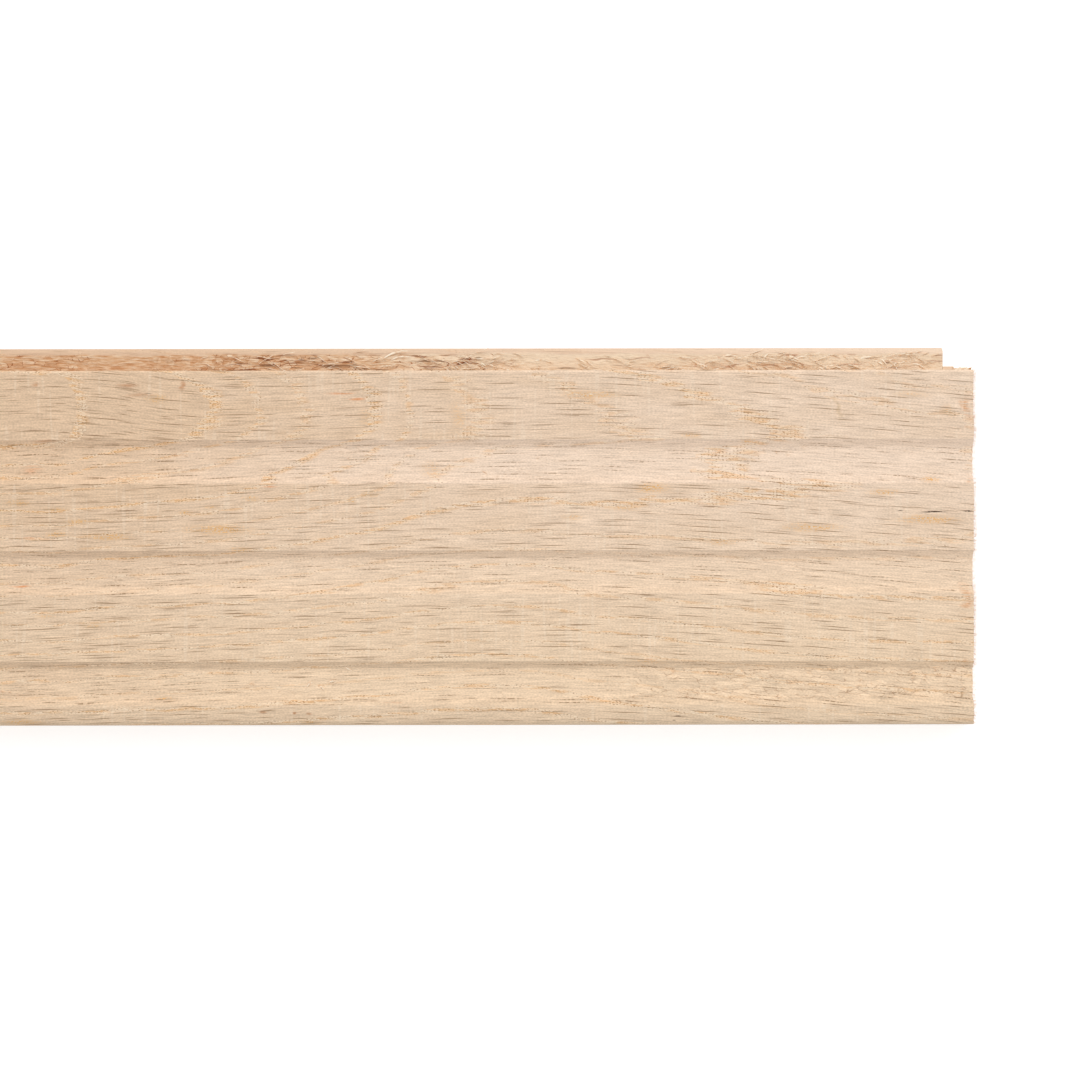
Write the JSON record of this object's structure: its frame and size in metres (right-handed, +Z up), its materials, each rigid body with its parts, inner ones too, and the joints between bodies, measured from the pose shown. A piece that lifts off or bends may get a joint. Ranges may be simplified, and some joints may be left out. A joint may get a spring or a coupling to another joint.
{
  "type": "solid hardwood floorboard",
  "caption": "Solid oak floorboard with tongues and grooves along its sides and across its ends, and relief channels along its back.",
  "frame": {"origin": "middle of the underside of the whole board, tongues included, with the wear face down on the floor", "axes": "+X along the grain towards the grooved end, +Y across the board towards the tongued side, +Z up towards the relieved back"},
  "size_m": [0.9212, 0.1338, 0.0191],
  "materials": {
    "oak": "planed, unfinished"
  },
  "bodies": {
    "root": {"floorboard": "oak"}
  },
  "joints": []
}
